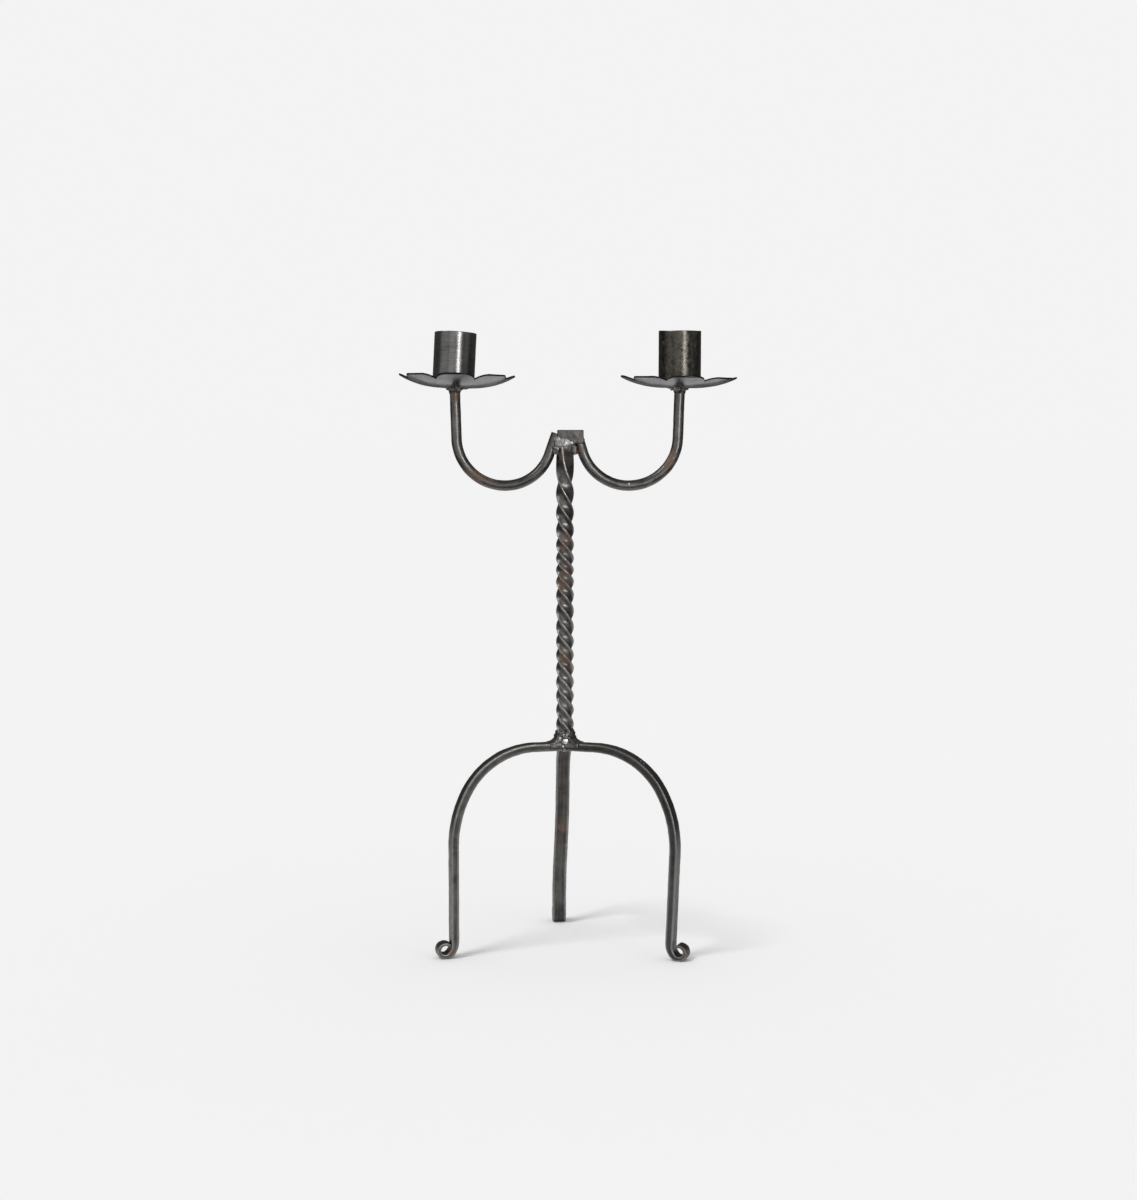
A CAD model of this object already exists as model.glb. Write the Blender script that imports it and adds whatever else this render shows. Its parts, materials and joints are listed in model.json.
import bpy
import bmesh
import json
import random
from math import atan2, cos, degrees, pi, radians, sin, sqrt, tan
from mathutils import Matrix, Vector, noise

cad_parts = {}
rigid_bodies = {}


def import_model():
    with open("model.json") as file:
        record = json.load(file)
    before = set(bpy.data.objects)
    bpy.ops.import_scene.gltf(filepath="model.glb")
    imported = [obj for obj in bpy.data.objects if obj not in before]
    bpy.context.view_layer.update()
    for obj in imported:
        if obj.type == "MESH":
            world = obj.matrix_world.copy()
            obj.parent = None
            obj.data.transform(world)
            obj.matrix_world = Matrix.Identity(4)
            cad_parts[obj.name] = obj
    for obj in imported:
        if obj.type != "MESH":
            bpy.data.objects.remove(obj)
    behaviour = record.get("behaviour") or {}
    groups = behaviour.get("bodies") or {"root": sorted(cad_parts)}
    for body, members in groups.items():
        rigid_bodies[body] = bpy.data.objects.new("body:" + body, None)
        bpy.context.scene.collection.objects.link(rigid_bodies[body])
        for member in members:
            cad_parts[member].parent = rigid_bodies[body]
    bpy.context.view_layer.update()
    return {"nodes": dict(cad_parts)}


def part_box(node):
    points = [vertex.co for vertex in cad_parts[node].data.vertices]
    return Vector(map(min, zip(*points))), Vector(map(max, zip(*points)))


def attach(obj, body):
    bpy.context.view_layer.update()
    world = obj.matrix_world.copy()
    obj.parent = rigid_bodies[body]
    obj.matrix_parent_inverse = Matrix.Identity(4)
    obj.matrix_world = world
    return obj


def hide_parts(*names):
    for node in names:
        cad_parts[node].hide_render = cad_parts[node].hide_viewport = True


# Wrought-iron candelabrum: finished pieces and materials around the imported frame.
# Shapes are drawn in millimetres round the stem's axis, then moved into the frame.
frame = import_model()
mm = 0.001

stemLow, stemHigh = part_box("stem")
stemAxis = Vector(((stemLow.x + stemHigh.x) / 2, (stemLow.y + stemHigh.y) / 2, 0))
intoFrame = Matrix.Translation(stemAxis) @ Matrix.Scale(mm, 4)
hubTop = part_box("left_leg")[1].z / mm
stemTop = stemHigh.z / mm
print("frame loaded, stem axis", tuple(stemAxis))


# small tools for node trees and meshes


def addNode(tree, kind, **settings):
    node = tree.nodes.new(kind)
    for name, value in settings.items():
        setattr(node, name, value)
    return node


def feed(tree, socket, value):   # a link when value is a socket, else a plain number
    if isinstance(value, bpy.types.NodeSocket):
        tree.links.new(value, socket)
    else:
        socket.default_value = value


def wire(tree, kind, inputs, **settings):   # a new node with its named sockets fed
    node = addNode(tree, kind, **settings)
    for name, value in inputs.items():
        feed(tree, node.inputs[name], value)
    return node


def mathStep(tree, operation, first, second=0.0, third=0.0, clamp=False):
    node = addNode(tree, "ShaderNodeMath", operation=operation, use_clamp=clamp)
    for socket, value in zip(node.inputs, (first, second, third)):
        feed(tree, socket, value)
    return node.outputs[0]


def vectorStep(tree, operation, first, second=(0, 0, 0), scale=1.0):
    node = addNode(tree, "ShaderNodeVectorMath", operation=operation)
    feed(tree, node.inputs[0], first)
    feed(tree, node.inputs[1], second)
    if operation == "SCALE":
        feed(tree, node.inputs["Scale"], scale)
    return node.outputs["Vector"]


def ramp(tree, value, low, high, toLow=0.0, toHigh=1.0):
    limits = {"Value": value, "From Min": low, "From Max": high, "To Min": toLow, "To Max": toHigh}
    return wire(tree, "ShaderNodeMapRange", limits, interpolation_type="SMOOTHSTEP").outputs[0]


def grainNoise(tree, vector, size, stretch=1.0, detail=4.0, rough=0.55):   # size in mm, stretch along the bar
    scaled = vectorStep(tree, "MULTIPLY", vector, tuple(1 / (size * mm * run) for run in (1, 1, stretch)))
    inputs = {"Vector": scaled, "Scale": 1.0, "Detail": detail, "Roughness": rough}
    return wire(tree, "ShaderNodeTexNoise", inputs).outputs[0]


def blend(tree, factor, first, second):
    node = addNode(tree, "ShaderNodeMix", data_type="RGBA")
    feed(tree, node.inputs["Factor"], factor)
    for socket, value in ((node.inputs[6], first), (node.inputs[7], second)):
        feed(tree, socket, value if isinstance(value, bpy.types.NodeSocket) else (*value, 1))
    return node.outputs[2]


def loft(rings, tubeClosed=False):   # rings of equal count, capped at both ends or joined end to end
    count = len(rings[0])
    points = [point for ring in rings for point in ring]
    faces = []
    last = len(rings) if tubeClosed else len(rings) - 1
    for i in range(last):
        below, above = i * count, (i + 1) % len(rings) * count
        for j in range(count):
            k = (j + 1) % count
            faces.append((below + j, below + k, above + k, above + j))
    if not tubeClosed:
        faces.append(tuple(range(count - 1, -1, -1)))
        faces.append(tuple(range(len(points) - count, len(points))))
    return points, faces


def setAttribute(mesh, name, kind, values):
    layer = mesh.attributes.get(name) or mesh.attributes.new(name, kind, "POINT")
    layer.data.foreach_set("vector" if kind == "FLOAT_VECTOR" else "value", values)


def buildMesh(name, points, faces, grain=None, wear=None):   # points and grain in mm
    mesh = bpy.data.meshes.new(name)
    mesh.from_pydata([intoFrame @ point for point in points], [], faces)
    setAttribute(mesh, "grain", "FLOAT_VECTOR", [n * mm for point in (grain or points) for n in point])
    setAttribute(mesh, "wear", "FLOAT", wear or [0.0] * len(points))
    work = bmesh.new()
    work.from_mesh(mesh)
    bmesh.ops.recalc_face_normals(work, faces=work.faces)
    work.to_mesh(mesh)
    work.free()
    return mesh


def finishPiece(name, mesh, material, nodes):
    piece = bpy.data.objects.new(name, mesh)
    bpy.context.scene.collection.objects.link(piece)
    mesh.shade_smooth()
    mesh.materials.clear()
    mesh.materials.append(material)
    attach(piece, "root")
    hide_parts(*nodes)
    return piece


def lumpy(tree, surface, place, depth, size, seed=None):   # pushes a surface in and out along its normals
    dimensions = "3D" if seed is None else "4D"
    spots = vectorStep(tree, "SCALE", place, scale=mathStep(tree, "DIVIDE", 1.0, size))
    inputs = {"Vector": spots, "Scale": 1.0, "Detail": 2.0}
    if seed is not None:
        inputs["W"] = seed
    lumps = wire(tree, "ShaderNodeTexNoise", inputs, noise_dimensions=dimensions).outputs[0]
    twice = mathStep(tree, "MULTIPLY", depth, 2.0)
    lift = mathStep(tree, "MULTIPLY", mathStep(tree, "SUBTRACT", lumps, 0.5), twice)
    normal = addNode(tree, "GeometryNodeInputNormal").outputs[0]
    offset = vectorStep(tree, "SCALE", normal, scale=lift)
    return wire(tree, "GeometryNodeSetPosition", {"Geometry": surface, "Offset": offset}).outputs[0]


def dent(mesh, depth, size, seed):   # shallow unevenness, depth and size in mm
    shift = Vector((3.7, 1.9, 5.3)) * seed   # so that two pieces are never uneven in the same way
    normals = [vertex.normal.copy() for vertex in mesh.vertices]   # all read before the first vertex moves
    places = [Vector(item.vector) / (size * mm) + shift for item in mesh.attributes["grain"].data]
    for vertex, normal, place in zip(mesh.vertices, normals, places):
        vertex.co += normal * depth * mm * noise.fractal(place, 1.0, 2.0, 3)


def bakeNodes(holder):   # the evaluated result as a plain mesh
    graph = bpy.context.evaluated_depsgraph_get()
    mesh = bpy.data.meshes.new_from_object(holder.evaluated_get(graph))
    bpy.data.objects.remove(holder)
    return mesh


def route(start, heading, moves, counts):   # points along straights (length,) and arcs (radius, left turn)
    x, z = start
    angle = radians(heading)
    points = [(x, z)]
    for move, count in zip(moves, counts):
        if len(move) == 1:
            points += [(x + move[0] * cos(angle) * i / count, z + move[0] * sin(angle) * i / count)
                       for i in range(1, count + 1)]
        else:
            radius, turn = abs(move[0]), radians(move[1])
            side = 1 if turn > 0 else -1
            for i in range(1, count + 1):
                now = angle + turn * i / count
                points.append((x + side * radius * (sin(now) - sin(angle)),
                               z - side * radius * (cos(now) - cos(angle))))
            angle += turn
        x, z = points[-1]
    return points


# materials


def ironMaterial(name, look):
    material = bpy.data.materials.new(name)
    material.use_nodes = True
    tree = material.node_tree
    shader = tree.nodes["Principled BSDF"]
    grain = addNode(tree, "ShaderNodeAttribute", attribute_name="grain").outputs["Vector"]
    worn = addNode(tree, "ShaderNodeAttribute", attribute_name="wear").outputs["Fac"]
    place = addNode(tree, "ShaderNodeTexCoord").outputs["Object"]

    clouds = grainNoise(tree, place, look["cloudSize"], detail=5)
    speckle = grainNoise(tree, grain, look["speckleSize"], detail=3)
    streaks = grainNoise(tree, grain, look["streakSize"], look["streakStretch"], detail=4, rough=0.65)
    tone = mathStep(tree, "MULTIPLY_ADD", streaks, look["streakShare"], clouds)
    tone = ramp(tree, tone, *(limit * (1 + look["streakShare"]) for limit in look["toneSpan"]))
    colour = blend(tree, tone, look["dark"], look["mid"])

    edge = mathStep(tree, "MULTIPLY", worn, ramp(tree, speckle, *look["edgeSpan"], look["edgeLeast"], 1.0))
    edge = mathStep(tree, "MULTIPLY", edge, look["edgeShare"], clamp=True)
    colour = blend(tree, edge, colour, look["bare"])

    rustSpot = grainNoise(tree, place, look["rustSize"], detail=6, rough=0.6)
    rust = ramp(tree, rustSpot, look["rustFrom"], look["rustFrom"] + look["rustFade"])
    for spot in look.get("rustPatches", []):
        away = vectorStep(tree, "SUBTRACT", place, tuple(intoFrame @ Vector(spot["at"])))
        share = vectorStep(tree, "MULTIPLY", away, tuple(1 / (r * mm) for r in spot["reach"]))
        reach = addNode(tree, "ShaderNodeVectorMath", operation="LENGTH")
        feed(tree, reach.inputs[0], share)
        patch = ramp(tree, reach.outputs["Value"], 1.0, look["patchCore"])
        broken = ramp(tree, rustSpot, *look["patchSpan"])
        rust = mathStep(tree, "MAXIMUM", rust, mathStep(tree, "MULTIPLY", patch, broken))
    rust = mathStep(tree, "MULTIPLY", rust, look["rustShare"])
    rustTone = blend(tree, ramp(tree, speckle, *look["toneSpan"]), look["rustDark"], look["rustLight"])
    feed(tree, shader.inputs["Base Color"], blend(tree, rust, colour, rustTone))
    metallic = ramp(tree, rust, 0.0, 1.0, look["metal"], look["metal"] * look["rustMetal"])
    feed(tree, shader.inputs["Metallic"], metallic)

    rough = ramp(tree, clouds, *look["roughSpan"], look["roughLow"], look["roughHigh"])
    rough = mathStep(tree, "MULTIPLY_ADD", speckle, look["roughSpeckle"], rough)
    rough = mathStep(tree, "MULTIPLY_ADD", rust, look["roughRust"], rough)
    feed(tree, shader.inputs["Roughness"], rough)

    pits = mathStep(tree, "MULTIPLY", speckle, look["speckleDepth"])
    height = mathStep(tree, "MULTIPLY_ADD", streaks, look["streakDepth"], pits)
    bump = wire(tree, "ShaderNodeBump", {"Strength": 1.0, "Distance": mm, "Height": height})
    feed(tree, shader.inputs["Normal"], bump.outputs["Normal"])
    return material


blackIron = {   # sizes and depths in mm; a span is the stretch of noise values that a change runs over
    "dark": (0.112, 0.105, 0.098), "mid": (0.228, 0.217, 0.205), "bare": (0.52, 0.51, 0.50),
    "cloudSize": 6.0, "speckleSize": 0.55, "streakSize": 1.3, "streakStretch": 14.0, "streakShare": 0.6,
    "toneSpan": (0.35, 0.65), "edgeSpan": (0.3, 0.62), "edgeLeast": 0.35, "edgeShare": 0.8,
    "metal": 1.0, "roughSpan": (0.3, 0.7), "roughLow": 0.22, "roughHigh": 0.40,
    "roughSpeckle": 0.08, "roughRust": 0.22, "streakDepth": 0.035, "speckleDepth": 0.03,
    "rustSize": 4.0, "rustFrom": 0.64, "rustFade": 0.13, "rustShare": 0.7, "rustMetal": 0.45,
    "patchCore": 0.35, "patchSpan": (0.38, 0.56),
    "rustDark": (0.085, 0.040, 0.022), "rustLight": (0.21, 0.115, 0.068),
}

stemIron = ironMaterial("stemIron", dict(blackIron, rustPatches=[
    {"at": (-0.5, -4, 228), "reach": (9, 9, 12)},
    {"at": (1, -4, 250), "reach": (7, 7, 9)},
    {"at": (-4, -4, 303), "reach": (5, 5, 7)},
    {"at": (0, -4, 180), "reach": (6, 6, 6)},
]))
legIron = ironMaterial("legIron", dict(
    blackIron, dark=(0.048, 0.0455, 0.0425), mid=(0.105, 0.101, 0.095), cloudSize=8.0,
    streakStretch=22.0, streakShare=1.0, edgeShare=0.45, roughLow=0.31, roughHigh=0.43, rustPatches=[
        {"at": (-4, 72, 96), "reach": (9, 12, 20)},
        {"at": (-4, 74, 62), "reach": (7, 12, 12)},
        {"at": (76, -28, 5), "reach": (10, 10, 6)},
        {"at": (-70, -19, 4), "reach": (8, 8, 5)},
    ]))
rodIron = ironMaterial("rodIron", dict(
    blackIron, dark=(0.108, 0.104, 0.099), mid=(0.21, 0.203, 0.194), cloudSize=8.0,
    streakStretch=18.0, edgeShare=0.0, roughLow=0.25, roughHigh=0.40, rustPatches=[
        {"at": (-52, -3, 289), "reach": (16, 8, 8)},
        {"at": (8, -3, 305), "reach": (5, 5, 6)},
        {"at": (64, -3, 298), "reach": (9, 8, 12)},
        {"at": (-66, -3, 339), "reach": (6, 6, 6)},
    ]))
blockIron = ironMaterial("blockIron", dict(
    blackIron, dark=(0.10, 0.097, 0.092), mid=(0.20, 0.195, 0.187), bare=(0.07, 0.068, 0.065),
    cloudSize=3.5, streakShare=0.3, edgeShare=1.0, roughLow=0.34, roughHigh=0.48,
    rustShare=0.45, rustFrom=0.6, rustSize=2.2,
))
weldIron = ironMaterial("weldIron", dict(
    blackIron, dark=(0.07, 0.066, 0.062), mid=(0.20, 0.19, 0.18), cloudSize=2.2, streakShare=0.0,
    speckleSize=0.8, speckleDepth=0.05, edgeShare=0.55, roughLow=0.22, roughHigh=0.42,
    rustShare=0.5, rustFrom=0.58, rustSize=2.5,
))
crotchIron = ironMaterial("crotchIron", dict(
    blackIron, dark=(0.17, 0.165, 0.157), mid=(0.29, 0.282, 0.27), cloudSize=2.0, streakShare=0.0,
    edgeShare=0.3, roughLow=0.34, roughHigh=0.5, rustShare=0.5, rustFrom=0.56, rustSize=2.0,
))
groundIron = ironMaterial("groundIron", dict(
    blackIron, dark=(0.24, 0.235, 0.23), mid=(0.50, 0.495, 0.485), cloudSize=1.5, streakSize=0.5,
    streakStretch=6.0, streakDepth=0.06, edgeShare=0.4, roughLow=0.30, roughHigh=0.46,
    rustShare=0.2, rustFrom=0.66,
))
brightChip = ironMaterial("brightChip", dict(
    blackIron, dark=(0.75, 0.75, 0.76), mid=(0.92, 0.92, 0.93), cloudSize=1.5, streakShare=0.0,
    edgeShare=0.0, roughLow=0.22, roughHigh=0.34, rustShare=0.0,
))
panSheet = ironMaterial("panSheet", dict(
    blackIron, dark=(0.137, 0.132, 0.134), mid=(0.245, 0.238, 0.242), bare=(0.03, 0.029, 0.028),
    cloudSize=13.0, streakSize=2.2, streakStretch=1.0, streakShare=0.25, streakDepth=0.012,
    speckleSize=0.9, speckleDepth=0.012, edgeShare=2.5, roughLow=0.19, roughHigh=0.26,
    roughSpeckle=0.03, rustShare=0.25, rustFrom=0.66,
))
brushedCup = ironMaterial("brushedCup", dict(
    blackIron, dark=(0.13, 0.128, 0.124), mid=(0.27, 0.265, 0.258), cloudSize=12.0, streakSize=9.0,
    streakStretch=0.035, streakShare=1.3, streakDepth=0.03, speckleSize=1.2, speckleDepth=0.006,
    edgeShare=0.8, roughLow=0.235, roughHigh=0.27, roughSpeckle=0.03, rustShare=0.15, rustFrom=0.66,
))
patinaCup = ironMaterial("patinaCup", dict(
    blackIron, dark=(0.062, 0.057, 0.048), mid=(0.145, 0.135, 0.118), cloudSize=2.4, streakSize=1.6,
    streakStretch=0.2, streakShare=0.5, streakDepth=0.02, speckleSize=1.0, speckleDepth=0.012,
    edgeShare=0.7, roughLow=0.20, roughHigh=0.34, roughSpeckle=0.08, rustShare=0.5, rustFrom=0.52,
    rustSize=3.5, rustDark=(0.055, 0.04, 0.025), rustLight=(0.13, 0.10, 0.065),
))
print("materials ready")


# stem: a square bar twisted along its length, made by geometry nodes
stem = {
    "side": 8.0, "corner": 0.6, "cornerSteps": 6, "spacing": 0.4, "sectionPoints": 56,
    "dentDepth": 0.11, "dentSize": 5.5, "pitDepth": 0.03, "pitSize": 1.1,
    "wearSpan": (0.82, 0.95),   # how near to a corner the bar is rubbed, as a share of its side
    # height, and the quarter turns made by there, counted downwards; the twist is left-handed
    "quarterTurns": [(309.9, -0.8), (296.0, -0.5), (286.8, 0.0), (262.8, 2.0), (244.6, 4.0), (222.4, 7.0),
                     (194.3, 10.0), (169.4, 13.0), (134.8, 17.0), (128.2, 17.7)],
}


def newTree(name, sockets):   # a geometry tree and its inputs, which are listed by kind
    tree = bpy.data.node_groups.new(name, "GeometryNodeTree")
    tree.interface.new_socket("Geometry", in_out="OUTPUT", socket_type="NodeSocketGeometry")
    for kind, socketNames in sockets.items():
        for socketName in socketNames:
            tree.interface.new_socket(socketName, in_out="INPUT", socket_type="NodeSocket" + kind)
    return tree, addNode(tree, "NodeGroupInput").outputs


def stored(tree, geometry, name, kind, value):   # keeps a value on the points under a name
    inputs = {"Geometry": geometry, "Name": name, "Value": value}
    node = wire(tree, "GeometryNodeStoreNamedAttribute", inputs, data_type=kind, domain="POINT")
    return node.outputs[0]


def twistedBarTree(item):
    tree, given = newTree("twistedBar", {
        "Float": ("Low", "High", "Side", "Corner", "Spacing",
                  "Dent Depth", "Dent Size", "Pit Depth", "Pit Size"),
        "Vector": ("Axis",), "Int": ("Section Points",), "Material": ("Material",),
    })
    ends = []
    for height in (given["Low"], given["High"]):
        offset = wire(tree, "ShaderNodeCombineXYZ", {"Z": height}).outputs[0]
        ends.append(vectorStep(tree, "ADD", given["Axis"], offset))
    line = wire(tree, "GeometryNodeCurvePrimitiveLine", {"Start": ends[0], "End": ends[1]}).outputs[0]
    steps = {"Curve": line, "Length": given["Spacing"]}
    spine = wire(tree, "GeometryNodeResampleCurve", steps, mode="LENGTH").outputs[0]

    sides = {"Width": given["Side"], "Height": given["Side"]}
    square = wire(tree, "GeometryNodeCurvePrimitiveQuadrilateral", sides).outputs[0]
    fillet = {"Curve": square, "Radius": given["Corner"], "Count": item["cornerSteps"]}
    rounded = wire(tree, "GeometryNodeFilletCurve", fillet, mode="POLY").outputs[0]
    evenly = {"Curve": rounded, "Count": given["Section Points"]}
    section = wire(tree, "GeometryNodeResampleCurve", evenly, mode="COUNT").outputs[0]
    swept = {"Curve": spine, "Profile Curve": section, "Fill Caps": True}
    bar = wire(tree, "GeometryNodeCurveToMesh", swept).outputs[0]

    place = addNode(tree, "GeometryNodeInputPosition").outputs[0]
    straight = vectorStep(tree, "SUBTRACT", place, given["Axis"])
    bar = stored(tree, bar, "grain", "FLOAT_VECTOR", straight)

    parts = wire(tree, "ShaderNodeSeparateXYZ", {"Vector": straight}).outputs
    corner = mathStep(tree, "ADD", *(mathStep(tree, "ABSOLUTE", parts[axis]) for axis in "XY"))
    corner = ramp(tree, mathStep(tree, "DIVIDE", corner, given["Side"]), *item["wearSpan"])
    bar = stored(tree, bar, "wear", "FLOAT", corner)

    angle = twistAngle(tree, item, parts["Z"], given["Low"], given["High"])
    pivot = {"Vector": place, "Center": given["Axis"], "Angle": angle}
    turned = wire(tree, "ShaderNodeVectorRotate", pivot, rotation_type="Z_AXIS").outputs[0]
    bar = wire(tree, "GeometryNodeSetPosition", {"Geometry": bar, "Position": turned}).outputs[0]
    bar = lumpy(tree, bar, place, given["Dent Depth"], given["Dent Size"])
    bar = lumpy(tree, bar, place, given["Pit Depth"], given["Pit Size"])
    return paintAndEnd(tree, bar, given["Material"])


def twistAngle(tree, item, height, low, high):   # the quarter turns over the height, on a smooth curve
    (bottom, bottomTurns), (top, topTurns) = item["quarterTurns"][-1], item["quarterTurns"][0]
    share = wire(tree, "ShaderNodeMapRange", {"Value": height, "From Min": low, "From Max": high}).outputs[0]
    law = wire(tree, "ShaderNodeFloatCurve", {"Value": share})
    curve = law.mapping.curves[0]
    spots = sorted(((z - bottom) / (top - bottom), (turns - topTurns) / (bottomTurns - topTurns))
                   for z, turns in item["quarterTurns"])
    curve.points[0].location, curve.points[-1].location = spots[0], spots[-1]
    for spot in spots[1:-1]:
        curve.points.new(*spot)
    for point in curve.points:
        point.handle_type = "AUTO_CLAMPED"
    law.mapping.update()
    sweep, start = (bottomTurns - topTurns) * pi / 2, topTurns * pi / 2
    return mathStep(tree, "MULTIPLY_ADD", law.outputs[0], sweep, start)


def paintAndEnd(tree, surface, material):   # the last nodes of every tree: real geometry with its material
    real = wire(tree, "GeometryNodeRealizeInstances", {"Geometry": surface}).outputs[0]
    painted = wire(tree, "GeometryNodeSetMaterial", {"Geometry": real, "Material": material}).outputs[0]
    wire(tree, "NodeGroupOutput", {"Geometry": painted})
    return tree


def runTree(name, tree, values, base=None):   # a holder object runs the tree, and its result is baked
    holder = bpy.data.objects.new(name, base or bpy.data.meshes.new(name))
    bpy.context.scene.collection.objects.link(holder)
    modifier = holder.modifiers.new(name, "NODES")
    modifier.node_group = tree
    for socket in tree.interface.items_tree:
        if socket.in_out == "INPUT" and socket.name in values:
            modifier[socket.identifier] = values[socket.name]
    return bakeNodes(holder)


stemMesh = runTree("twistedStem", twistedBarTree(stem), {
    "Low": stemLow.z, "High": stemHigh.z, "Side": stem["side"] * mm, "Corner": stem["corner"] * mm,
    "Spacing": stem["spacing"] * mm, "Axis": stemAxis, "Section Points": stem["sectionPoints"],
    "Dent Depth": stem["dentDepth"] * mm, "Dent Size": stem["dentSize"] * mm,
    "Pit Depth": stem["pitDepth"] * mm, "Pit Size": stem["pitSize"] * mm, "Material": stemIron,
})
finishPiece("twistedStem", stemMesh, stemIron, ["stem"])
print("stem made")


# legs: flat bar bent over the hub, down to a scroll foot
legShape = {
    "width": 8.4, "thick": 4.5, "spread": 0.15, "edge": 0.6, "crown": 0.16,
    "shoulderRadius": 50.0, "shoulderTurn": 61.0, "hipRadius": 72.0,
    "footTurn": 45.0, "soleRadii": (12.0, 4.5), "soleFlat": 2.0, "curlRadii": (4.4, 5.0),
    "instepRadii": (7.0, 2.3), "instepFlat": 0.5, "instepHeight": 2.4, "eyeRadii": (2.5, 3.0),
    "counts": (46, 70, 60, 96, 16, 8, 3, 12, 22),
    "dentDepth": 0.13, "dentSize": 7.0, "pitDepth": 0.035, "pitSize": 1.3, "mitreRun": 24.0,
    "swayRun": 45.0, "waveRun": 60.0, "waveHeight": 16.0, "thinEdge": 0.4, "tipWidth": 0.8,
    "tip": [(1.0, 0.0), (0.9, 0.35), (0.7, 0.6), (0.4, 0.75)],   # the scroll's end: size, distance past it
}
legs = {   # sway: sideways at the hip, then waviness lower down
    "left_leg": {"azimuth": 195.5, "reach": 72.0, "lean": 0.0, "curlTurn": 125.0, "sway": (0.3, 0.0)},
    "right_leg": {"azimuth": 339.5, "reach": 73.0, "lean": 2.6, "curlTurn": 94.0, "sway": (-0.3, 0.2)},
    "back_leg": {"azimuth": 93.1, "reach": 72.3, "lean": 0.5, "curlTurn": 110.0, "sway": (-2.4, 0.5)},
}


def legFaces(item):   # matching points down the outer and the under side, in the leg's own plane
    shape = legShape
    hub = item["reach"] - shape["shoulderRadius"] * sin(radians(shape["shoulderTurn"]))
    hub -= shape["hipRadius"] * (1 - sin(radians(shape["shoulderTurn"])))
    hip = 90 - shape["shoulderTurn"] + item["lean"]
    faces = []
    for depth, bends, bottom, flat, curls in (
        (0.0, shape["instepRadii"], shape["instepHeight"], shape["instepFlat"], shape["eyeRadii"]),
        (shape["thick"], shape["soleRadii"], 0.0, shape["soleFlat"], shape["curlRadii"]),
    ):
        moves = [(hub,), (shape["shoulderRadius"] - depth, -shape["shoulderTurn"])]
        moves += [(shape["hipRadius"] - depth, -hip)]
        knee = route((0, hubTop - depth), 0, moves, (1, 1, 1))[-1]
        drop = bends[0] * (sin(radians(shape["footTurn"])) + sin(radians(item["lean"])))
        drop += bends[1] * (1 - sin(radians(shape["footTurn"])))
        moves += [((knee[1] - bottom - drop) / cos(radians(item["lean"])),)]
        moves += [(bends[0], shape["footTurn"] + item["lean"]), (bends[1], 90 - shape["footTurn"]), (flat,)]
        moves += [(curls[0], 90), (curls[1], item["curlTurn"])]
        faces.append(route((0, hubTop - depth), 0, moves, shape["counts"]))
    return faces


def roundedSection(thick, width, edge):   # across the thickness, across the width, wear; counter-clockwise
    corners = []
    for signX, signY, start in ((1, 1, 0), (-1, 1, 90), (-1, -1, 180), (1, -1, 270)):
        x, y = (thick / 2 - edge) * signX, (width / 2 - edge) * signY
        angles = [radians(start + 90 * i / 4) for i in range(5)]
        corners.append([(x + edge * cos(a), y + edge * sin(a), 1.0) for a in angles])
    ring = []
    for i, corner in enumerate(corners):
        here, there = corner[-1], corners[(i + 1) % 4][0]
        steps = 4 if i % 2 == 0 else 9   # along a narrow face, then along a broad one
        run, rise = there[0] - here[0], there[1] - here[1]
        ring += corner
        ring += [(here[0] + run * n / steps, here[1] + rise * n / steps, 0.0) for n in range(1, steps)]
    return ring


def legMesh(name, item):
    shape = legShape
    others = sorted((leg["azimuth"] - item["azimuth"]) % 360 for leg in legs.values() if leg is not item)
    mitre = {1: 1 / tan(radians(others[0] / 2)), -1: 1 / tan(radians((360 - others[1]) / 2))}
    outer, under = legFaces(item)
    rings, grain, wear = [], [], []
    along = 0.0
    turned = Matrix.Rotation(radians(item["azimuth"]), 4, "Z")
    stations = list(zip(outer, under)) + [(outer[-1], under[-1])] * (len(shape["tip"]) - 1)
    for i, (top, bottom) in enumerate(stations):
        across = Vector((top[0] - bottom[0], 0, top[1] - bottom[1]))
        thick = across.length
        across.normalize()
        middle = Vector(((top[0] + bottom[0]) / 2, 0, (top[1] + bottom[1]) / 2))
        forward = Vector((across.z, 0, -across.x))
        sway, wave = item["sway"]
        middle.y += sway * min(1.0, middle.x / shape["swayRun"]) ** 2 * middle.z / hubTop
        middle.y += wave * sin(middle.z / shape["waveHeight"]) * min(1.0, middle.x / shape["waveRun"]) ** 3
        size, past = shape["tip"][max(0, i - len(outer) + 1)]
        middle += forward * past
        if i:
            along += (middle - before).length
        before = middle.copy()
        ring = []
        fullThick = (thick + 2 * shape["spread"]) * size
        narrowed = shape["tipWidth"] + (1 - shape["tipWidth"]) * size
        fullWidth = (shape["width"] + 2 * shape["spread"]) * narrowed
        edge = min(shape["edge"], thick * shape["thinEdge"]) * size
        for n, w, corner in roundedSection(fullThick, fullWidth, edge):
            bulge = shape["crown"] * (1 - (2 * w / shape["width"]) ** 2) * (1 if n > 0 else -1)
            point = middle + across * (n + bulge) + Vector((0, w, 0))
            if top[0] < shape["mitreRun"]:   # the three bars meet on mitres under the stem
                start = abs(w) * mitre[1 if w > 0 else -1]
                point.x += start * (1 - top[0] / shape["mitreRun"])
            ring.append(turned @ point)
            grain.append(Vector((n, w, along + 300 * item["azimuth"])))
            wear.append(corner)
        rings.append(ring)
    points, faces = loft(rings)
    mesh = buildMesh(name, points, faces, grain, wear)
    dent(mesh, shape["dentDepth"], shape["dentSize"], item["azimuth"])
    dent(mesh, shape["pitDepth"], shape["pitSize"], item["azimuth"] + 1)
    return mesh


for legName, item in legs.items():
    finishPiece(legName.replace("_leg", "Leg"), legMesh(legName, item), legIron, [legName])
print("legs made")


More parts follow.
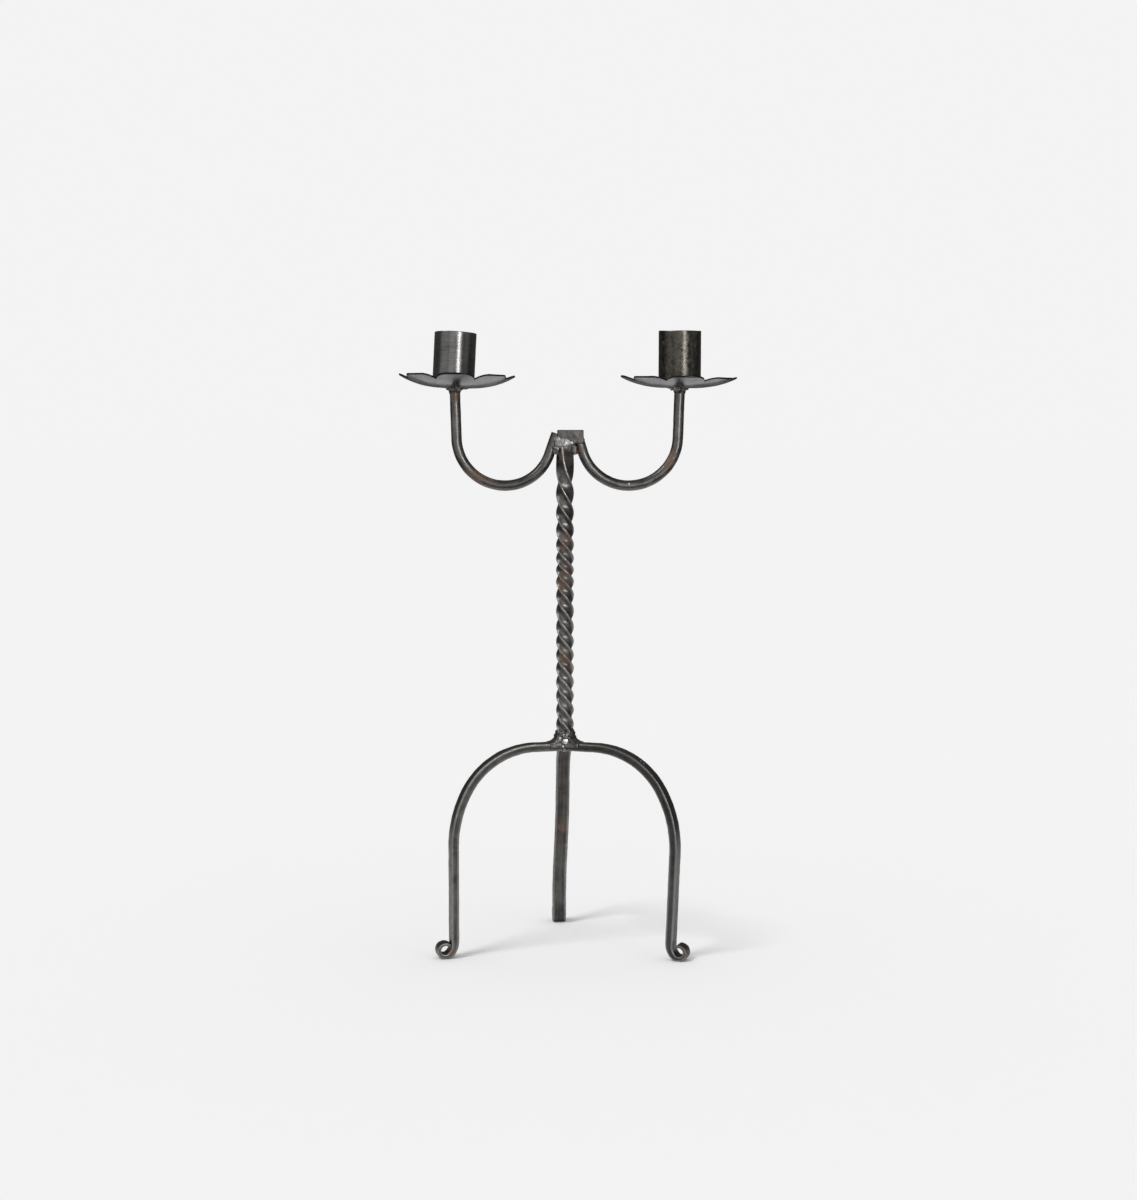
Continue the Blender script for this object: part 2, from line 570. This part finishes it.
# arms: round rod, bent from the stem down and out and up to the pan
arms = {
    "left_arm": {"side": -1, "bottomX": 36.1, "outerRadius": 29.3, "lean": 1.8,
                 "innerRadius": 28.15, "innerTurn": 70.6, "neck": 13.4},
    "right_arm": {"side": 1, "bottomX": 38.4, "outerRadius": 29.7, "lean": 1.9,
                  "innerRadius": 29.0, "innerTurn": 72.0, "neck": 8.2},
}
rod = {"radius": 3.175, "around": 36, "dentDepth": 0.09, "dentSize": 6.0, "pitDepth": 0.02, "pitSize": 0.9,
       "counts": (64, 44), "innerCounts": (56, 14), "insidePan": 0.4}
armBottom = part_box("left_arm")[0].z / mm + rod["radius"]
panUnderside = 343.3   # height of both pans' undersides at their middles


def shankStart(item):
    return armBottom + item["outerRadius"] * (1 - sin(radians(item["lean"])))


def armMesh(name, item):
    side, lean = item["side"], item["lean"]
    lowest = (side * item["bottomX"], armBottom)
    shank = (panUnderside + rod["insidePan"] - shankStart(item)) / cos(radians(lean))
    outward = 0 if side > 0 else 180
    upwards = [(item["outerRadius"], side * (90 - lean)), (shank,)]
    inwards = [(item["innerRadius"], -side * item["innerTurn"]), (item["neck"],)]
    outer = route(lowest, outward, upwards, rod["counts"])
    inner = route(lowest, outward + 180, inwards, rod["innerCounts"])
    path = [Vector((x, 0, z)) for x, z in inner[:0:-1] + outer]
    rings, grain = [], []
    along = 0.0
    for i, spot in enumerate(path):
        ahead = (path[min(i + 1, len(path) - 1)] - path[max(i - 1, 0)]).normalized()
        sideways = Vector((0, 1, 0))
        up = sideways.cross(ahead)
        along += (spot - path[i - 1]).length if i else 0.0
        ring = []
        for j in range(rod["around"]):
            angle = 2 * pi * j / rod["around"]
            ring.append(spot + rod["radius"] * (cos(angle) * up + sin(angle) * sideways))
            grain.append(Vector((rod["radius"] * cos(angle), rod["radius"] * sin(angle), along + 400 * side)))
        rings.append(ring)
    points, faces = loft(rings)
    mesh = buildMesh(name, points, faces, grain)
    dent(mesh, rod["dentDepth"], rod["dentSize"], 11 + side)
    dent(mesh, rod["pitDepth"], rod["pitSize"], 21 + side)
    return mesh


for armName, item in arms.items():
    finishPiece(armName.replace("_arm", "Arm"), armMesh(armName, item), rodIron, [armName])
print("arms made")


# drip pans: dished sheet with a petalled rim
pan = {
    "radius": 35.0, "valleyRadius": 29.3, "sheet": 0.9, "flatRadius": 9.0, "petals": 8,
    "edgeAngle": 10.5, "cornerAngle": 17.0, "cornerRadius": 33.4, "flankPoints": 9, "tipPoints": 12,
    "rings": 44, "rimRounding": 0.22, "rimLean": 0.12, "liftFrom": 22.0, "dentDepth": 0.10, "dentSize": 14.0,
}
heads = {   # petal lifts run from the right-hand petal round by the back
    "left": {
        "panX": -65.0, "turn": 1.0, "panBack": 0.6, "panOver": 1.0, "depth": 7.0,
        "cupX": -67.3, "cupBack": 2.5, "cupOver": 2.8, "cupTop": 32.2, "cupMetal": brushedCup, "rimLip": 0.05,
        "seed": 4, "petalLifts": (0.1, 0.3, -0.2, 0.2, 0.15, -0.1, 0.1, -0.15),
    },
    "right": {
        "panX": 68.4, "turn": 5.6, "panBack": -0.3, "panOver": 0.75, "depth": 5.8,
        "cupX": 69.0, "cupBack": -2.0, "cupOver": 0.0, "cupTop": 33.2, "cupMetal": patinaCup, "rimLip": 0.22,
        "seed": 9, "petalLifts": (0.4, -1.4, -0.2, -1.4, 0.5, -0.3, 0.0, -0.5),
    },
}


def tipped(x, z, back, over, turn=0.0):
    place = Matrix.Translation((x, 0, z)) @ Matrix.Rotation(radians(-back), 4, "X")
    return place @ Matrix.Rotation(radians(over), 4, "Y") @ Matrix.Rotation(radians(turn), 4, "Z")


def panPlace(head):
    return tipped(head["panX"], panUnderside, head["panBack"], head["panOver"], head["turn"])


def cupPlace(head):
    return tipped(head["cupX"], panUnderside + pan["sheet"], head["cupBack"], head["cupOver"])


def dishHeight(radius, depth):
    run = pan["radius"] - pan["flatRadius"]
    bend = (run ** 2 + depth ** 2) / (2 * depth)
    out = max(0.0, radius - pan["flatRadius"])
    return bend - sqrt(bend ** 2 - out ** 2)


def arcThrough(a, b, c, count):   # evenly spaced points on the circle through three, the last one left out
    d = 2 * (a.x * (b.y - c.y) + b.x * (c.y - a.y) + c.x * (a.y - b.y))
    aa, bb, cc = a.length_squared, b.length_squared, c.length_squared
    x = (aa * (b.y - c.y) + bb * (c.y - a.y) + cc * (a.y - b.y)) / d
    y = (aa * (c.x - b.x) + bb * (a.x - c.x) + cc * (b.x - a.x)) / d
    centre = Vector((x, y))
    start, end = a - centre, c - centre
    sweep = (atan2(end.y, end.x) - atan2(start.y, start.x) + pi) % (2 * pi) - pi
    return [centre + Matrix.Rotation(sweep * i / count, 2) @ start for i in range(count)]


def petalOutline():   # for each petal a flank up from the valley, the tip, and a flank down again
    valley = 180 / pan["petals"]
    knots = [(pan["valleyRadius"], -valley), (pan["cornerRadius"], -pan["cornerAngle"]),
             (pan["radius"], -pan["edgeAngle"]), (pan["radius"], 0), (pan["radius"], pan["edgeAngle"]),
             (pan["cornerRadius"], pan["cornerAngle"]), (pan["valleyRadius"], valley)]
    outline = []
    for i in range(pan["petals"]):
        angles = [radians(2 * valley * i + angle) for _, angle in knots]
        spots = [Vector((r * cos(a), r * sin(a))) for (r, _), a in zip(knots, angles)]
        for first, count in ((0, pan["flankPoints"]), (2, pan["tipPoints"]), (4, pan["flankPoints"])):
            outline += arcThrough(*spots[first:first + 3], count)
    return outline


def panMesh(name, head):
    outline = petalOutline()
    count = len(outline)
    rim = pan["rimRounding"]
    soft = rim * 0.3   # halfway round the softened edge
    rise = pan["radius"] - pan["liftFrom"]   # over this stretch a petal bends up or down

    def under(point, inset=0.0):
        radius = max(point.length - inset, 0.0)
        spot = point.normalized() * radius if point.length else point
        petal = degrees(atan2(point.y, point.x)) / 360 * pan["petals"]
        nearest = round(petal)
        share = cos((petal - nearest) * pi) * max(0.0, (radius - pan["liftFrom"]) / rise) ** 2
        lift = head["petalLifts"][nearest % pan["petals"]] * share
        return Vector((spot.x, spot.y, dishHeight(radius, head["depth"]) + lift))

    rings, grain, wear = [], [], []
    steps = pan["rings"]
    sheet = pan["sheet"]
    layers = [(i / steps, 0.0, 0.0) for i in range(1, steps)]   # share of the outline, inset, height
    layers += [(1.0, rim, 0.0), (1.0, soft, soft), (1.0, 0.0, sheet / 2)]
    layers += [(1.0, soft, sheet - soft), (1.0, rim, sheet)]
    layers += [(i / steps, 0.0, sheet) for i in range(steps - 1, 0, -1)]
    for share, inset, lift in layers:
        ring = []
        for spot in outline:
            base = under(spot * share, inset)
            slope = Vector((spot.x, spot.y, 0)).normalized() * -pan["rimLean"] * lift
            ring.append(base + Vector((0, 0, lift)) + slope)
            wear.append(1.0 if share == 1.0 else 0.0)
        rings.append(ring)
        grain += ring
    points, faces = loft(rings)
    faces = faces[:-2]
    for first, z in ((0, 0.0), (len(points) - count, sheet)):   # close the middle of both faces
        points.append(Vector((0, 0, z)))
        grain.append(points[-1])
        wear.append(0.0)
        faces += [(first + j, first + (j + 1) % count, len(points) - 1) for j in range(count)]
    place = panPlace(head)
    mesh = buildMesh(name, [place @ point for point in points], faces, grain, wear)
    dent(mesh, pan["dentDepth"], pan["dentSize"], head["seed"])
    return mesh


# candle cups: tube, its foot following the dish
cup = {"outer": 12.7, "bore": 11.3, "round": 0.3, "around": 128, "up": 70, "down": 24, "sink": 0.35,
       "outOfRound": 0.10, "lipHeight": 1.0, "lipWaves": 1.6, "dentDepth": 0.035, "dentSize": 11.0}


def cupMesh(name, head):
    place, panFrame = cupPlace(head), panPlace(head).inverted()
    top, outer, bore, soft = head["cupTop"], cup["outer"], cup["bore"], cup["round"]
    up, down = cup["up"], cup["down"]
    profile = [(outer, i / up * (top - soft), 0.0) for i in range(up + 1)]
    for edge, inward, angles in ((outer, -soft, (30, 60, 90)), (bore, soft, (90, 60, 30, 0))):
        for angle in map(radians, angles):
            profile.append((edge + inward * (1 - cos(angle)), top - soft + soft * sin(angle), 1.0))
    profile += [(bore, (1 - i / down) * (top - soft), 0.0) for i in range(1, down + 1)]
    rings, grain, wear = [], [], []
    for radius, z, corner in profile:
        ring = []
        for j in range(cup["around"]):
            angle = 2 * pi * j / cup["around"]
            r = radius + cup["outOfRound"] * sin(2 * angle + head["seed"])
            spot = Vector((r * cos(angle), r * sin(angle), z))
            if z == 0:   # down to just inside the sheet; a second pass takes up the tilt
                for _ in range(2):
                    onPan = panFrame @ (place @ spot)
                    gap = onPan.z - dishHeight(onPan.xy.length, head["depth"]) - pan["sheet"]
                    spot.z -= gap + cup["sink"]
            if z > top - cup["lipHeight"]:
                wave = Vector((cos(angle), sin(angle), head["seed"])) * cup["lipWaves"]
                spot.z += head["rimLip"] * noise.noise(wave)
            ring.append(spot)
            grain.append(spot.copy())
            wear.append(corner)
        rings.append([place @ spot for spot in ring])
    points, faces = loft(rings, tubeClosed=True)
    mesh = buildMesh(name, points, faces, grain, wear)
    dent(mesh, cup["dentDepth"], cup["dentSize"], head["seed"])
    return mesh


for hand, head in heads.items():
    panName, cupName = hand + "Pan", hand + "Cup"
    finishPiece(panName, panMesh(panName, head), panSheet, [hand + "_drip_pan"])
    finishPiece(cupName, cupMesh(cupName, head), head["cupMetal"], [hand + "_candle_cup"])
print("pans and cups made")


# welds: the frame's weld solids fused with drops of metal, remeshed into one lumpy skin
skins = {
    "weld": {"voxel": 0.22, "smooth": 3, "dentDepth": 0.12, "dentSize": 1.6},
    "block": {"voxel": 0.25, "smooth": 2, "dentDepth": 0.10, "dentSize": 2.6},
    "ground": {"voxel": 0.2, "smooth": 2, "dentDepth": 0.07, "dentSize": 1.4},
    "mergeWithin": 0.004, "edgeGain": 4,
}


def threeRadii(size):   # one radius stands for all three
    return size if isinstance(size, tuple) else (size,) * 3


def fused(name, nodes, drops, skin):   # drops are (point, radius) or (point, radii)
    work = bmesh.new()
    for node in nodes:
        work.from_mesh(frame["nodes"][node].data)
    bmesh.ops.remove_doubles(work, verts=work.verts, dist=skins["mergeWithin"] * mm)
    for point, size in drops:
        place = intoFrame @ Matrix.Translation(point) @ Matrix.Diagonal((*threeRadii(size), 1))
        bmesh.ops.create_icosphere(work, subdivisions=3, radius=1.0, matrix=place)
    raw = bpy.data.meshes.new(name)
    work.to_mesh(raw)
    work.free()
    holder = bpy.data.objects.new(name, raw)
    bpy.context.scene.collection.objects.link(holder)
    remesh = holder.modifiers.new("skin", "REMESH")
    remesh.mode = "VOXEL"
    remesh.voxel_size = skin["voxel"] * mm
    soften = holder.modifiers.new("soften", "SMOOTH")
    soften.iterations = skin["smooth"]
    mesh = bakeNodes(holder)
    setAttribute(mesh, "grain", "FLOAT_VECTOR", [n for v in mesh.vertices for n in v.co - stemAxis])
    dent(mesh, skin["dentDepth"], skin["dentSize"], len(drops))
    work = bmesh.new()
    work.from_mesh(mesh)
    wear = []
    for v in work.verts:   # standing edges are rubbed, hollows are not
        slopes = [v.normal.dot((v.co - edge.other_vert(v).co).normalized()) for edge in v.link_edges]
        wear.append(min(1.0, max(0.0, sum(slopes) / len(slopes) * skins["edgeGain"])))
    work.free()
    setAttribute(mesh, "wear", "FLOAT", wear)
    return mesh


collar = {   # the hub's weld: uneven drops round the stem's foot, over the legs and, closer in, between them
    "around": 18, "footRadius": 4.7, "footHeight": (5.0, 6.2), "footSize": 1.3, "footReach": (1.8, 2.9),
    "drops": 46, "from": 0.2, "height": 6.0, "crowding": 1.5, "size": (0.7, 1.3), "lowShare": 0.5,
    "legHalf": 28, "overLegs": (7.4, 2.2), "betweenLegs": (6.2, 1.2),   # radius low down, its loss upwards
}
flare = {   # under each pan; the last drop stands out on one side
    "around": 14, "uneven": 0.3, "reach": (4.0, 5.0), "below": (0.3, 0.9), "size": (0.6, 1.0),
    "left": [((6.6, -3.4, -0.3), (2.0, 1.4, 0.7))], "right": [((-5.5, -3.0, -0.2), (1.8, 1.2, 0.5))],
}
crotch = {   # between the stem's side and the rod, from front to back
    "drops": 40, "halfDepth": 3.8, "height": 306.7, "spread": (-1.8, 1.9), "reach": (4.6, 6.5),
    "size": ((1.4, 1.9), (1.0, 1.4), (1.5, 2.2)),
}


def dropsFrom(x, z, drops):   # drops placed by their steps to the right, back and up from x, z
    return [(Vector((x + right, back, z + up)), size) for (right, back, up), size in drops]


def hubDrops(seed):
    chance = random.Random(seed)
    drops = []
    for i in range(collar["around"]):   # up the stem's foot, so the collar runs out along it
        angle = 2 * pi * i / collar["around"]
        across = (collar["footRadius"] * cos(angle), collar["footRadius"] * sin(angle))
        place = Vector((*across, hubTop + chance.uniform(*collar["footHeight"])))
        drops.append((place, (collar["footSize"], collar["footSize"], chance.uniform(*collar["footReach"]))))
    for _ in range(collar["drops"]):
        angle = chance.uniform(0, 2 * pi)
        share = chance.random() ** collar["crowding"]
        offLeg = min(abs((degrees(angle) - leg["azimuth"] + 180) % 360 - 180) for leg in legs.values())
        between = share < collar["lowShare"] and offLeg > collar["legHalf"]
        foot, loss = collar["betweenLegs" if between else "overLegs"]
        radius = foot - loss * share
        height = hubTop + collar["from"] + collar["height"] * share
        place = Vector((radius * cos(angle), radius * sin(angle), height))
        drops.append((place, chance.uniform(*collar["size"])))
    return drops


def rodTop(hand):
    item = arms[hand + "_arm"]
    lean = radians(item["lean"])
    shankX = item["bottomX"] + item["outerRadius"] * cos(lean)
    return item["side"] * (shankX + (panUnderside - shankStart(item)) * tan(lean))


def flareDrops(hand, seed):
    chance = random.Random(seed)
    x = rodTop(hand)
    drops = []
    for i in range(flare["around"]):
        angle = 2 * pi * (i + chance.uniform(-flare["uneven"], flare["uneven"])) / flare["around"]
        reach = chance.uniform(*flare["reach"])
        z = panUnderside - chance.uniform(*flare["below"])
        place = Vector((x + reach * cos(angle), reach * sin(angle), z))
        drops.append((place, chance.uniform(*flare["size"])))
    return drops + dropsFrom(x, panUnderside, flare[hand])


def crotchDrops(side, seed):
    chance = random.Random(seed)
    drops = []
    for i in range(crotch["drops"]):
        y = crotch["halfDepth"] * (2 * i / (crotch["drops"] - 1) - 1)
        size = tuple(chance.uniform(*span) for span in crotch["size"])
        x = side * chance.uniform(*crotch["reach"])
        drops.append((Vector((x, y, crotch["height"] + chance.uniform(*crotch["spread"]))), size))
    return drops


welds = {
    "hubWeld": ("hub_weld", weldIron, hubDrops(5)),
    "leftPanWeld": ("left_pan_weld", weldIron, flareDrops("left", 2)),
    "rightPanWeld": ("right_pan_weld", weldIron, flareDrops("right", 3)),
    "leftArmWeld": ("left_arm_weld", crotchIron, crotchDrops(-1, 7)),
    "rightArmWeld": ("right_arm_weld", crotchIron, crotchDrops(1, 8)),
}
for weldName, (node, metal, drops) in welds.items():
    finishPiece(weldName, fused(weldName, [node], drops, skins["weld"]), metal, [node])

blockLow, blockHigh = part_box("top_block")
blockX = ((blockLow + blockHigh) / 2 - stemAxis).x / mm
blockEdges = dropsFrom(blockX, stemTop, [
    ((7.4, -3.2, 2.2), (1.3, 0.9, 1.4)),   # nib on the right-hand edge
    ((-6.6, -3.4, 0.9), (1.6, 1.0, 1.2)),
    ((4.6, -3.7, 0.9), (2.6, 0.7, 1.1)),
])
blockMesh = fused("topBlock", ["top_block"], blockEdges, skins["block"])
finishPiece("topBlock", blockMesh, blockIron, ["top_block"])
patchDrops = dropsFrom(0, stemTop, [
    ((-1.4, -4.2, 1.0), (4.6, 0.8, 2.7)),
    ((-4.4, -4.1, 2.4), (2.6, 0.8, 2.2)),
    ((-0.4, -4.1, -1.8), (2.6, 0.9, 1.8)),
    ((3.4, -4.0, 0.4), (2.2, 0.7, 1.4)),
])
patchMesh = fused("groundPatch", ["block_weld"], patchDrops, skins["ground"])
finishPiece("groundPatch", patchMesh, groundIron, ["block_weld"])
print("welds made")


# drops: cup tacks, seam beads and spatter, one lumpy drop set on each point by geometry nodes


def dropTree():
    tree, given = newTree("metalDrops", {
        "Geometry": ("Geometry",), "Float": ("Lump Depth", "Lump Size", "Seed"),
        "Int": ("Subdivisions",), "Material": ("Material",),
    })
    inputs = {"Radius": 1.0, "Subdivisions": given["Subdivisions"]}
    ball = wire(tree, "GeometryNodeMeshIcoSphere", inputs).outputs["Mesh"]
    size = wire(tree, "GeometryNodeInputNamedAttribute", {"Name": "size"}, data_type="FLOAT_VECTOR")
    inputs = {"Points": given["Geometry"], "Instance": ball, "Scale": size.outputs["Attribute"]}
    spread = wire(tree, "GeometryNodeInstanceOnPoints", inputs).outputs[0]
    real = wire(tree, "GeometryNodeRealizeInstances", {"Geometry": spread}).outputs[0]
    place = addNode(tree, "GeometryNodeInputPosition").outputs[0]
    lumps = lumpy(tree, real, place, given["Lump Depth"], given["Lump Size"], given["Seed"])
    return paintAndEnd(tree, lumps, given["Material"])


metalDrops = dropTree()
drop = {"lump": 0.25, "lumpSize": 1.1, "subdivisions": 4, "wear": 0.6}


def dropSet(name, drops, material, nodes, lump=drop["lump"], subdivisions=drop["subdivisions"]):
    base = bpy.data.meshes.new(name)
    base.from_pydata([intoFrame @ point for point, _ in drops], [], [])
    setAttribute(base, "size", "FLOAT_VECTOR", [r * mm for _, size in drops for r in threeRadii(size)])
    mesh = runTree(name, metalDrops, {
        "Lump Depth": lump * mm, "Lump Size": drop["lumpSize"] * mm, "Seed": float(len(name)),
        "Subdivisions": subdivisions, "Material": material,
    }, base)
    setAttribute(mesh, "grain", "FLOAT_VECTOR", [n for v in mesh.vertices for n in v.co - stemAxis])
    setAttribute(mesh, "wear", "FLOAT", [drop["wear"]] * len(mesh.vertices))
    return finishPiece(name, mesh, material, nodes)


tack = {"angles": (107, 227, 347), "size": (1.5, 1.3, 1.1), "out": 0.4, "lift": 0.45}
for hand, head in heads.items():
    reach = cup["outer"] + tack["out"]
    around = [Vector((reach * cos(a), reach * sin(a), tack["lift"])) for a in map(radians, tack["angles"])]
    spots = [(cupPlace(head) @ spot, tack["size"]) for spot in around]
    dropSet(hand + "CupTacks", spots, weldIron, [hand + "_cup_tacks"])

seam = {"radius": 1.7, "lift": 0.85}   # a bead under the hub where two legs meet
seamSpots = []
for item in legs.values():
    nextLeg = min((leg["azimuth"] - item["azimuth"]) % 360 for leg in legs.values() if leg is not item)
    half = radians(nextLeg / 2)
    reach = legShape["width"] / 2 / sin(half)
    toward = radians(item["azimuth"]) + half
    height = hubTop - legShape["thick"] + seam["lift"]
    seamSpots.append((Vector((reach * cos(toward), reach * sin(toward), height)), seam["radius"]))
dropSet("legSeamBeads", seamSpots, weldIron, ["leg_seam_weld"])

spatter = dropsFrom(0, armBottom, [((38.6, -2.9, 1.0), (0.75, 0.5, 0.7))])   # on the right arm's bend
spatter += dropsFrom(0, hubTop, [
    ((-5.2, -5.9, 1.4), 0.7),
    ((6.4, -5.4, 0.3), 0.75),
    ((-1.2, -8.0, -1.2), 0.8),
    ((-0.8, -6.3, 5.3), 0.65),
])
dropSet("spatter", spatter, brightChip, [], lump=0.15, subdivisions=3)
chips = dropsFrom(0, hubTop, [
    ((0.2, -7.9, 1.8), (1.9, 0.9, 1.6)),   # bright facets on the front of the collar
    ((-3.0, -6.6, 3.2), (0.9, 0.7, 1.2)),
])
facets = dropSet("hubChips", chips, brightChip, [], lump=0.3, subdivisions=2)
facets.data.shade_flat()
nick = dropsFrom(0, 0, [((46.0, -17.2, 119.3), (1.5, 1.8, 0.8)), ((47.4, -18.9, 118.1), (1.0, 1.1, 0.7))])
dropSet("legNick", nick, weldIron, [], subdivisions=3)   # a drop left on the right leg's shoulder
print("drops made")


# floor, light and camera
studio = {   # metres and degrees; "shown" is the backdrop's brightness in the picture
    "paper": 0.8, "shown": 0.8963, "sunShare": 0.33, "sunElevation": 52.0, "sunFromLeft": 47.0,
    "sunAngle": 20.0, "mirrorCentre": 0.24, "mirrorRadius": 0.44, "farRadius": 60.0, "floorSides": 96,
    "floorDrop": 0.0004, "dim": 0.10, "overhead": 0.26, "skySpan": (0.1, 0.9), "aimHeight": 0.2,
}


def paperMaterial():
    material = bpy.data.materials.new("palePaper")
    material.use_nodes = True
    shader = material.node_tree.nodes["Principled BSDF"]
    shader.inputs["Base Color"].default_value = (studio["paper"],) * 3 + (1,)
    shader.inputs["Roughness"].default_value = 1.0
    shader.inputs["Specular IOR Level"].default_value = 0.0
    return material


def floorRing(name, inner, outer, material):
    count = studio["floorSides"]
    around = [(cos(2 * pi * i / count), sin(2 * pi * i / count)) for i in range(count)]
    middle, level = studio["mirrorCentre"], -studio["floorDrop"]
    points = [(r * x, middle + r * y, level) for r in (inner, outer) for x, y in around]
    faces = [(i, count + i, count + (i + 1) % count, (i + 1) % count) for i in range(count)]
    if inner == 0:
        points, faces = points[count:], [tuple(range(count))]
    mesh = bpy.data.meshes.new(name)
    mesh.from_pydata(points, [], faces)
    mesh.materials.append(material)
    sheet = bpy.data.objects.new(name, mesh)
    bpy.context.scene.collection.objects.link(sheet)
    return sheet


def studioWorld():
    world = bpy.data.worlds.new("studio")
    bpy.context.scene.world = world
    world.use_nodes = True
    tree = world.node_tree
    path = addNode(tree, "ShaderNodeLightPath").outputs
    around = addNode(tree, "ShaderNodeTexCoord").outputs["Generated"]
    height = wire(tree, "ShaderNodeSeparateXYZ", {"Vector": around}).outputs["Z"]
    dim = ramp(tree, height, *studio["skySpan"], studio["dim"], studio["overhead"])
    soft = studio["shown"] * (1 - studio["sunShare"]) / studio["paper"]
    ambient = mathStep(tree, "SUBTRACT", soft, dim)
    strength = mathStep(tree, "MULTIPLY_ADD", path["Is Diffuse Ray"], ambient, dim)
    shown = mathStep(tree, "SUBTRACT", studio["shown"], strength)
    strength = mathStep(tree, "MULTIPLY_ADD", path["Is Camera Ray"], shown, strength)
    feed(tree, tree.nodes["Background"].inputs["Strength"], strength)
    tree.nodes["Background"].inputs["Color"].default_value = (1, 1, 1, 1)


def aim(lamp, place, target):
    lamp.location = place
    lamp.rotation_euler = (Vector(target) - Vector(place)).to_track_quat("-Z", "Y").to_euler()


def softbox(name, azimuth, elevation, distance, width, height, radiance):   # azimuth runs to the right
    light = bpy.data.lights.new(name, "AREA")
    light.shape = "RECTANGLE"
    light.size, light.size_y = width, height
    light.energy = radiance * pi * width * height
    lamp = bpy.data.objects.new(name, light)
    bpy.context.scene.collection.objects.link(lamp)
    middle = Vector((0, 0, studio["aimHeight"]))
    a, e = radians(azimuth), radians(elevation)
    aim(lamp, middle + distance * Vector((sin(a) * cos(e), -cos(a) * cos(e), sin(e))), middle)
    lamp.visible_diffuse = False
    lamp.visible_camera = False


def keyLight():   # a wide sun from the viewer's left; of all the pieces only the legs throw its shadow
    sun = bpy.data.lights.new("key", "SUN")
    sun.angle = radians(studio["sunAngle"])
    up, flat = sin(radians(studio["sunElevation"])), cos(radians(studio["sunElevation"]))
    away = radians(studio["sunFromLeft"])
    sun.energy = studio["shown"] * studio["sunShare"] / studio["paper"] * pi / up
    key = bpy.data.objects.new("key", sun)
    bpy.context.scene.collection.objects.link(key)
    aim(key, (-sin(away) * flat, -cos(away) * flat, up), (0, 0, 0))
    key.visible_glossy = False
    casters = bpy.data.collections.new("shadowCasters")
    for legName in legs:
        casters.objects.link(bpy.data.objects[legName.replace("_leg", "Leg")])
    key.light_linking.blocker_collection = casters


paper = paperMaterial()
floorRing("floorBehind", 0, studio["mirrorRadius"], paper)   # the part the dishes' undersides pick up
floorFar = floorRing("floorFar", studio["mirrorRadius"], studio["farRadius"], paper)
floorFar.visible_glossy = False
studioWorld()
keyLight()
softboxes = {   # azimuth, elevation, distance, width, height, radiance
    "stripRight": (23, 10, 1.7, 0.17, 1.0, 18.0),
    "softFront": (-14, 4, 1.6, 0.95, 1.3, 0.72),
    "softLeft": (-58, 6, 1.6, 1.3, 1.2, 0.46),
    "softRight": (68, 5, 1.6, 0.8, 1.2, 0.2),
    "highLeft": (-62, 42, 1.6, 0.5, 0.5, 6.0),
}
for boxName, settings in softboxes.items():
    softbox(boxName, *settings)

view = {"lens": 61.99, "clipEnd": 200, "at": (2.126, -1250.0, 315.5), "downward": 4.584}
cameraData = bpy.data.cameras.new("camera")
cameraData.lens = view["lens"]
cameraData.clip_end = view["clipEnd"]
camera = bpy.data.objects.new("camera", cameraData)
bpy.context.scene.collection.objects.link(camera)
camera.location = intoFrame @ Vector(view["at"])
camera.rotation_euler = (radians(90 - view["downward"]), 0, 0)
bpy.context.scene.camera = camera
bpy.context.scene.view_settings.view_transform = "Standard"

print("studio ready")
